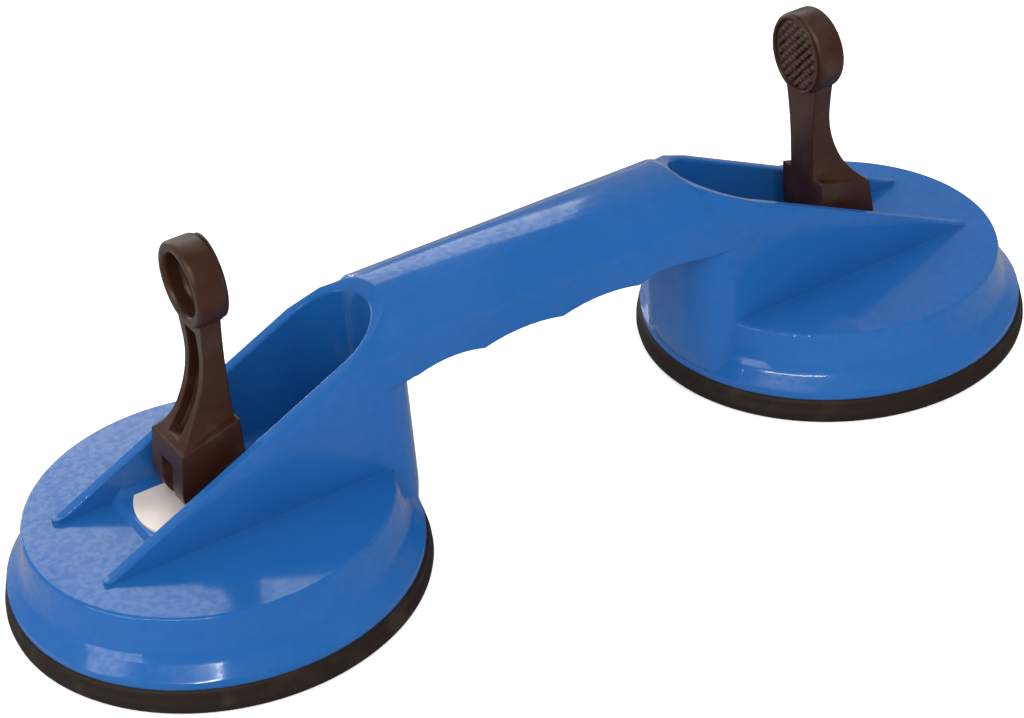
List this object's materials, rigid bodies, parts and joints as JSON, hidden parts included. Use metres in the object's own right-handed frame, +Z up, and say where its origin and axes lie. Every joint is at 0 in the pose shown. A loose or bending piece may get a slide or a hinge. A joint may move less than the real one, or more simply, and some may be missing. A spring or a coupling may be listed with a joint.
{
  "type": "tile suction lifter",
  "caption": "Bridge-handled suction lifter for floor tiles and glass: round rubber pads in flared cups, each drawn up by a fold-over cam lever.",
  "frame": {"origin": "midway between the two cup axes, on the flat underside of the rubber pads", "axes": "+X from the left cup to the right cup along the grip, +Z up, +Y across the grip"},
  "size_m": [0.328, 0.118, 0.105],
  "materials": {
    "handle_blue": "glossy blue moulding",
    "pad_rubber": "matt black rubber",
    "lever_plastic": "semi-gloss black moulding",
    "plate_steel": "zinc-plated, dull",
    "stem_steel": "zinc-plated",
    "spring_steel": "drawn wire",
    "pin_steel": "ground",
    "bush_nylon": "natural nylon"
  },
  "bodies": {
    "frame": {"handle_body": "handle_blue", "left_suction_pad": "pad_rubber", "left_return_spring": "spring_steel", "left_spring_washer": "stem_steel", "left_guide_bush": "bush_nylon", "left_cam_plate": "plate_steel", "right_suction_pad": "pad_rubber", "right_return_spring": "spring_steel", "right_spring_washer": "stem_steel", "right_guide_bush": "bush_nylon", "right_cam_plate": "plate_steel"},
    "left_stem": {"left_lift_stem": "stem_steel", "left_core_plate": "stem_steel", "left_jam_nut": "stem_steel"},
    "left_lever": {"left_release_lever": "lever_plastic", "left_pivot_pin": "pin_steel"},
    "right_stem": {"right_lift_stem": "stem_steel", "right_core_plate": "stem_steel", "right_jam_nut": "stem_steel"},
    "right_lever": {"right_release_lever": "lever_plastic", "right_pivot_pin": "pin_steel"}
  },
  "joints": [
    {"name": "left_lift", "type": "slide", "parent": "frame", "child": "left_stem", "axis": [0, 0, 1], "range_m": [0, 0.00581], "deforming": ["left_return_spring", "left_suction_pad"]},
    {"name": "left_fold", "type": "hinge", "parent": "left_stem", "child": "left_lever", "pos_m": [-0.105, 0, 0.033], "axis": [0, -1, 0], "range_deg": [0, 98]},
    {"name": "right_lift", "type": "slide", "parent": "frame", "child": "right_stem", "axis": [0, 0, 1], "range_m": [0, 0.00581], "deforming": ["right_return_spring", "right_suction_pad"]},
    {"name": "right_fold", "type": "hinge", "parent": "right_stem", "child": "right_lever", "pos_m": [0.105, 0, 0.033], "axis": [0, 1, 0], "range_deg": [0, 98]}
  ],
  "couplings": [
    {"joint": "left_lift", "follows": "left_fold", "m_per_rad": 0.003391},
    {"joint": "right_lift", "follows": "right_fold", "m_per_rad": 0.003391}
  ]
}
